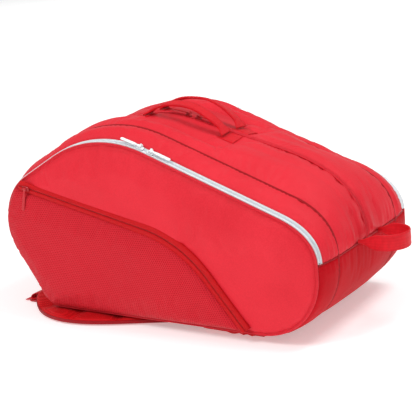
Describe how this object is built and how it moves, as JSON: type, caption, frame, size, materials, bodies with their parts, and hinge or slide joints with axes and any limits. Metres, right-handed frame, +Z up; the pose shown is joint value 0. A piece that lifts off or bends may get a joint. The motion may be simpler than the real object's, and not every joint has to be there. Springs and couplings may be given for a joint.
{
  "type": "racket tournament bag",
  "caption": "Wedge-shaped racket bag with three zipped compartments under a domed top, side pockets, carry handles, an end loop and folded shoulder straps",
  "frame": {"origin": "On the ground, on the base pad's underside, midway between the two side panels", "axes": "+X along the bag towards the end loop, -Y towards the front pocket, +Z up"},
  "size_m": [0.8209, 0.466, 0.4182],
  "materials": {
    "satin_fabric": "bright red satin-sheen woven polyester",
    "dark_satin": "deeper red satin woven polyester",
    "mesh_fabric": "red honeycomb mesh over foam",
    "strap_mesh": "deep red ribbed padded mesh",
    "webbing": "deep red woven polypropylene webbing",
    "binding": "deep red folded binding tape over cord",
    "lining": "dark grey woven lining over foam",
    "white_zip": "white coated zip tape",
    "red_zip": "deep red coated zip tape",
    "white_metal": "white lacquered die-cast metal",
    "red_metal": "red lacquered die-cast metal",
    "red_rubber": "moulded matt red rubber",
    "white_rubber": "moulded matt white rubber",
    "red_plastic": "moulded red plastic with a soft gloss",
    "board": "black corrugated stiffener board"
  },
  "bodies": {
    "shell": {"bottom_panel": "satin_fabric", "base_pad": "strap_mesh", "base_board": "board", "left_end_panel": "dark_satin", "right_end_panel": "dark_satin", "front_gusset": "satin_fabric", "front_centre_gusset": "satin_fabric", "rear_centre_gusset": "satin_fabric", "rear_gusset": "satin_fabric", "front_divider": "lining", "rear_divider": "lining", "seam_bindings": "binding", "centre_zip_tapes": "red_zip", "front_inner_tape": "white_zip", "rear_inner_tape": "white_zip", "front_lower_panel": "satin_fabric", "rear_lower_panel": "satin_fabric", "front_lower_piping": "binding", "rear_lower_piping": "binding", "front_pocket_lower": "mesh_fabric", "rear_pocket_lower": "mesh_fabric", "front_pocket_zip_lower": "red_zip", "rear_pocket_zip_lower": "red_zip", "strap_anchors": "dark_satin", "handle_patches": "webbing"},
    "front_flap": {"front_flap_panel": "satin_fabric", "front_flap_piping": "binding", "front_outer_tape": "white_zip", "front_pocket_upper": "mesh_fabric", "front_pocket_zip_upper": "red_zip"},
    "front_left_slider": {"front_left_slider": "white_metal"},
    "front_left_pull": {"front_left_pull": "white_rubber"},
    "front_right_slider": {"front_right_slider": "white_metal"},
    "front_right_pull": {"front_right_pull": "white_rubber"},
    "front_pocket_slider": {"front_pocket_slider": "red_metal"},
    "front_pocket_pull": {"front_pocket_pull": "red_rubber"},
    "front_handle": {"front_handle": "webbing"},
    "front_strap": {"front_strap_pad": "strap_mesh", "front_strap_webbing": "webbing", "front_strap_buckle": "red_plastic"},
    "rear_flap": {"rear_flap_panel": "satin_fabric", "rear_flap_piping": "binding", "rear_outer_tape": "white_zip", "rear_pocket_upper": "mesh_fabric", "rear_pocket_zip_upper": "red_zip"},
    "rear_left_slider": {"rear_left_slider": "white_metal"},
    "rear_left_pull": {"rear_left_pull": "white_rubber"},
    "rear_right_slider": {"rear_right_slider": "white_metal"},
    "rear_right_pull": {"rear_right_pull": "white_rubber"},
    "rear_pocket_slider": {"rear_pocket_slider": "red_metal"},
    "rear_pocket_pull": {"rear_pocket_pull": "red_rubber"},
    "rear_handle": {"rear_handle": "webbing"},
    "rear_strap": {"rear_strap_pad": "strap_mesh", "rear_strap_webbing": "webbing", "rear_strap_buckle": "red_plastic"},
    "centre_left_slider": {"centre_left_slider": "red_metal"},
    "centre_left_pull": {"centre_left_pull": "red_rubber"},
    "centre_right_slider": {"centre_right_slider": "red_metal"},
    "centre_right_pull": {"centre_right_pull": "red_rubber"},
    "end_loop": {"end_loop": "webbing"}
  },
  "joints": [
    {"name": "front_side_fold", "type": "hinge", "parent": "shell", "child": "front_flap", "pos_m": [0, -0.1984, 0.161], "axis": [1, 0, 0], "range_deg": [0, 85]},
    {"name": "rear_side_fold", "type": "hinge", "parent": "shell", "child": "rear_flap", "pos_m": [0, 0.1984, 0.161], "axis": [-1, 0, 0], "range_deg": [0, 85]},
    {"name": "front_left_slider_run", "type": "hinge", "parent": "shell", "child": "front_left_slider", "pos_m": [-0.09123, -0.181, 0.10676], "axis": [0, -1, 0], "range_deg": [0, 44]},
    {"name": "rear_left_slider_run", "type": "hinge", "parent": "shell", "child": "rear_left_slider", "pos_m": [-0.09123, 0.181, 0.10676], "axis": [0, -1, 0], "range_deg": [0, 44]},
    {"name": "front_right_slider_run", "type": "slide", "parent": "shell", "child": "front_right_slider", "axis": [0.9342, 0, -0.3567], "range_m": [0, 0.28]},
    {"name": "rear_right_slider_run", "type": "slide", "parent": "shell", "child": "rear_right_slider", "axis": [0.9342, 0, -0.3567], "range_m": [0, 0.28]},
    {"name": "front_left_pull_turn", "type": "hinge", "parent": "front_left_slider", "child": "front_left_pull", "pos_m": [-0.00887, -0.18337, 0.36383], "axis": [0.1006, 0.9441, 0.314], "range_deg": [0, 100]},
    {"name": "rear_left_pull_turn", "type": "hinge", "parent": "rear_left_slider", "child": "rear_left_pull", "pos_m": [-0.00887, 0.18337, 0.36383], "axis": [-0.1006, 0.9441, -0.314], "range_deg": [0, 100]},
    {"name": "front_right_pull_turn", "type": "hinge", "parent": "front_right_slider", "child": "front_right_pull", "pos_m": [0.01404, -0.18337, 0.35551], "axis": [-0.1176, -0.9441, -0.308], "range_deg": [0, 100]},
    {"name": "rear_right_pull_turn", "type": "hinge", "parent": "rear_right_slider", "child": "rear_right_pull", "pos_m": [0.01404, 0.18337, 0.35551], "axis": [0.1176, -0.9441, 0.308], "range_deg": [0, 100]},
    {"name": "front_pocket_slider_run", "type": "slide", "parent": "front_flap", "child": "front_pocket_slider", "axis": [0.9744, 0, -0.225], "range_m": [0, 0.27]},
    {"name": "rear_pocket_slider_run", "type": "slide", "parent": "rear_flap", "child": "rear_pocket_slider", "axis": [0.9744, 0, -0.225], "range_m": [0, 0.27]},
    {"name": "front_pocket_pull_turn", "type": "hinge", "parent": "front_pocket_slider", "child": "front_pocket_pull", "pos_m": [-0.286, -0.2136, 0.27077], "axis": [-0.9744, 0, 0.225], "range_deg": [0, 150]},
    {"name": "rear_pocket_pull_turn", "type": "hinge", "parent": "rear_pocket_slider", "child": "rear_pocket_pull", "pos_m": [-0.286, 0.2136, 0.27077], "axis": [0.9744, 0, -0.225], "range_deg": [0, 150]},
    {"name": "front_handle_fold", "type": "hinge", "parent": "shell", "child": "front_handle", "pos_m": [-0.095, -0.047, 0.39659], "axis": [0.9808, 0, -0.1952], "range_deg": [0, 75]},
    {"name": "rear_handle_fold", "type": "hinge", "parent": "shell", "child": "rear_handle", "pos_m": [-0.095, 0.047, 0.39659], "axis": [-0.9808, 0, 0.1952], "range_deg": [0, 75]},
    {"name": "front_strap_swing", "type": "hinge", "parent": "shell", "child": "front_strap", "pos_m": [-0.1, -0.078, 0.0152], "axis": [1, 0, 0], "range_deg": [0, 100]},
    {"name": "rear_strap_swing", "type": "hinge", "parent": "shell", "child": "rear_strap", "pos_m": [-0.1, 0.078, 0.0152], "axis": [-1, 0, 0], "range_deg": [0, 100]},
    {"name": "centre_left_slider_run", "type": "hinge", "parent": "shell", "child": "centre_left_slider", "pos_m": [-0.0787, 0, 0.10876], "axis": [0, -1, 0], "range_deg": [0, 39]},
    {"name": "centre_right_slider_run", "type": "slide", "parent": "shell", "child": "centre_right_slider", "axis": [0.9632, 0, -0.2689], "range_m": [0, 0.19]},
    {"name": "centre_left_pull_turn", "type": "hinge", "parent": "centre_left_slider", "child": "centre_left_pull", "pos_m": [-0.01525, 0, 0.39091], "axis": [0, 1, 0], "range_deg": [0, 100]},
    {"name": "centre_right_pull_turn", "type": "hinge", "parent": "centre_right_slider", "child": "centre_right_pull", "pos_m": [0.00831, 0, 0.38472], "axis": [0, -1, 0], "range_deg": [0, 100]},
    {"name": "end_loop_turn", "type": "hinge", "parent": "shell", "child": "end_loop", "pos_m": [0.3674, 0, 0.165], "axis": [0, -1, 0], "range_deg": [-55, 50]}
  ]
}
